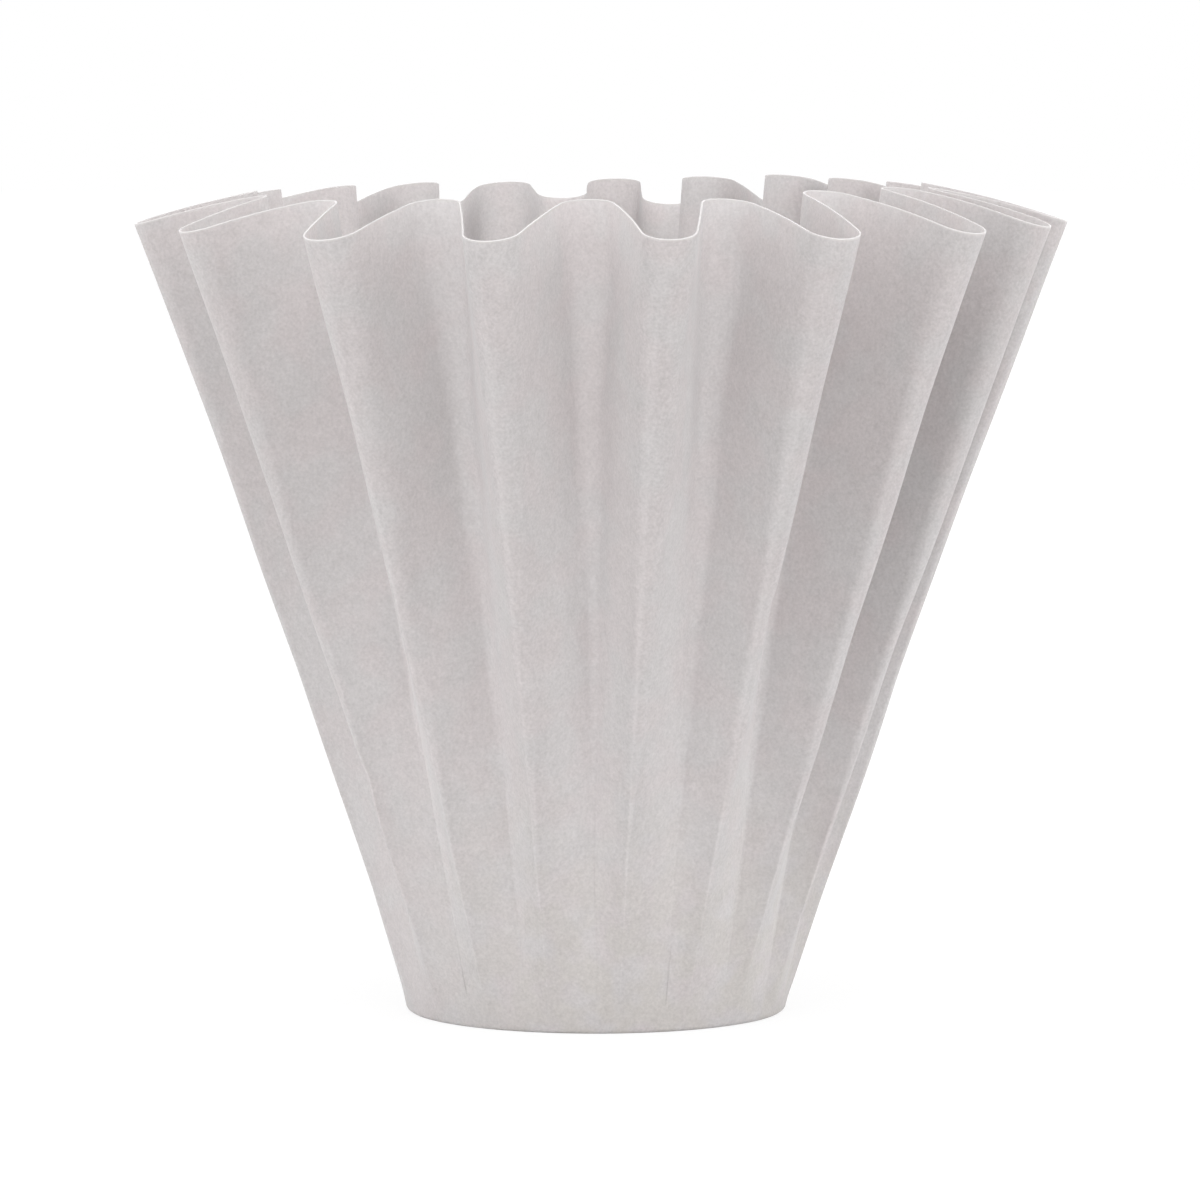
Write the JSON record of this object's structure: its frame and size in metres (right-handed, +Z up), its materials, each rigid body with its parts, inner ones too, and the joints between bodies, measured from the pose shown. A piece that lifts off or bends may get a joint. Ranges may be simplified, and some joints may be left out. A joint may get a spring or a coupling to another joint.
{
  "type": "paper coffee filter",
  "caption": "Tall flat-bottomed coffee filter pressed from one round sheet of white paper, with irregular flutes that open into a wavy rim.",
  "frame": {"origin": "centre of the underside of the flat bottom, where the filter rests", "axes": "+Z up towards the open rim, -Y towards the front, +X to the right when seen from the front"},
  "size_m": [0.1136, 0.1119, 0.1016],
  "materials": {
    "filter_paper": "matte, fibrous and slightly see-through white filter paper"
  },
  "bodies": {
    "root": {"filter_paper": "filter_paper"}
  },
  "joints": []
}
